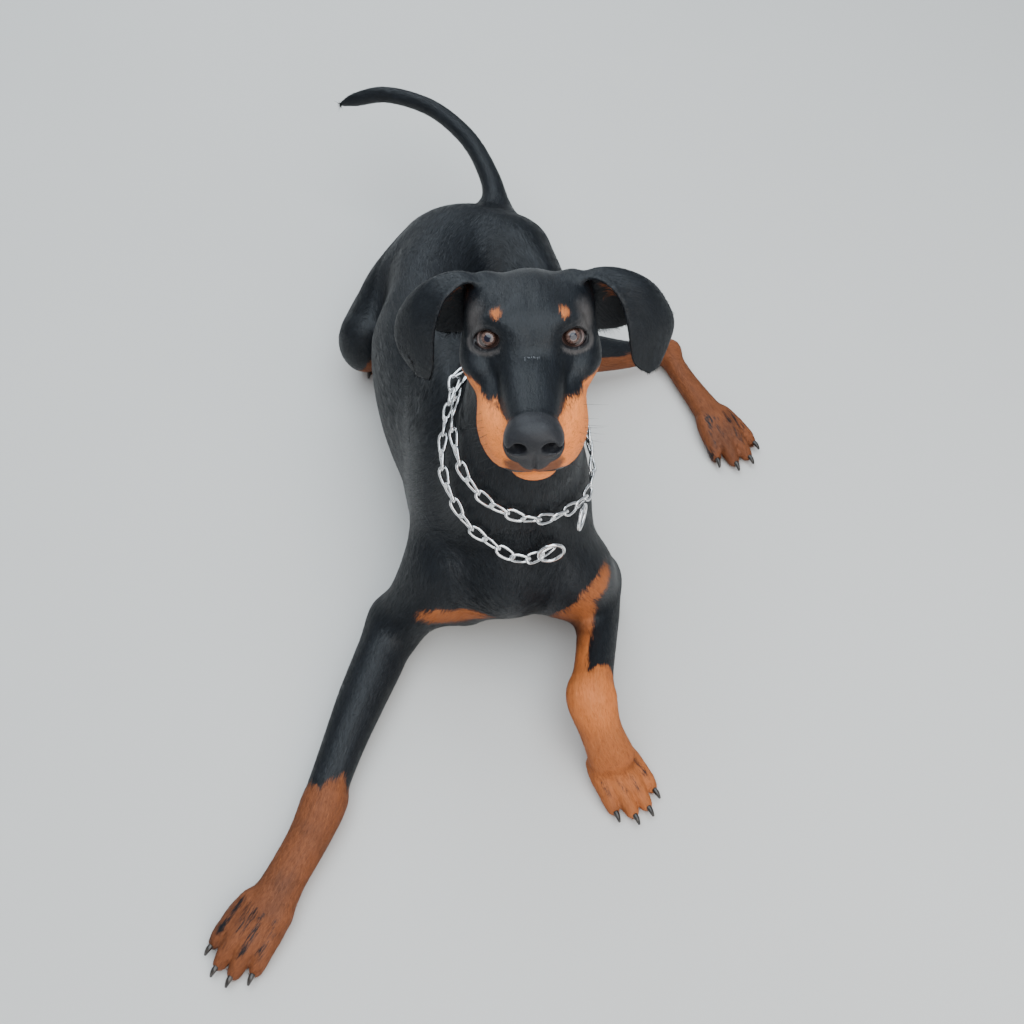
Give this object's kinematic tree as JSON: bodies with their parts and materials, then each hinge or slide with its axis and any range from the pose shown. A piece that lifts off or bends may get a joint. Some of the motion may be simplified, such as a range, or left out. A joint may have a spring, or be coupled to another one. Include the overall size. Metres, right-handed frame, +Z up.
{
  "type": "young doberman pinscher, lying, still model",
  "caption": "Life-size still model of a young black and tan doberman pinscher lying down and looking up, with a chain collar",
  "frame": {"origin": "on the floor, under the middle of the model's bounding box", "axes": "+X to the dog's left, +Y from its nose to its tail, +Z up from the floor"},
  "size_m": [0.5358, 0.9958, 0.3977],
  "materials": {
    "coat_black": "short, flat, glossy black fur",
    "coat_tan": "short rust-coloured fur",
    "claw": "dark horn",
    "eye": "wet, clear cornea over a grey-brown iris",
    "chain": "polished steel wire"
  },
  "bodies": {
    "root": {"torso": "coat_black", "tail_tip": "coat_black", "tail_middle": "coat_black", "tail_base": "coat_black", "forepaw_right": "coat_tan", "forepaw_left": "coat_tan", "forearm_right": "coat_black", "forearm_left": "coat_black", "upper_arm_right": "coat_black", "upper_arm_left": "coat_black", "hind_foot_right": "coat_tan", "hind_foot_left": "coat_tan", "shank_right": "coat_black", "shank_left": "coat_black", "thigh_right": "coat_black", "thigh_left": "coat_black", "head": "coat_black", "neck": "coat_black", "ear_left": "coat_black", "ear_right": "coat_black", "eye_left": "eye", "eye_right": "eye", "claw_fore_left_1": "claw", "claw_fore_left_2": "claw", "claw_fore_left_3": "claw", "claw_fore_left_4": "claw", "claw_fore_right_1": "claw", "claw_fore_right_2": "claw", "claw_fore_right_3": "claw", "claw_fore_right_4": "claw", "claw_hind_left_1": "claw", "claw_hind_left_2": "claw", "claw_hind_left_3": "claw", "claw_hind_left_4": "claw", "claw_hind_right_1": "claw", "claw_hind_right_2": "claw", "claw_hind_right_3": "claw", "claw_hind_right_4": "claw", "collar": "chain"}
  },
  "joints": []
}
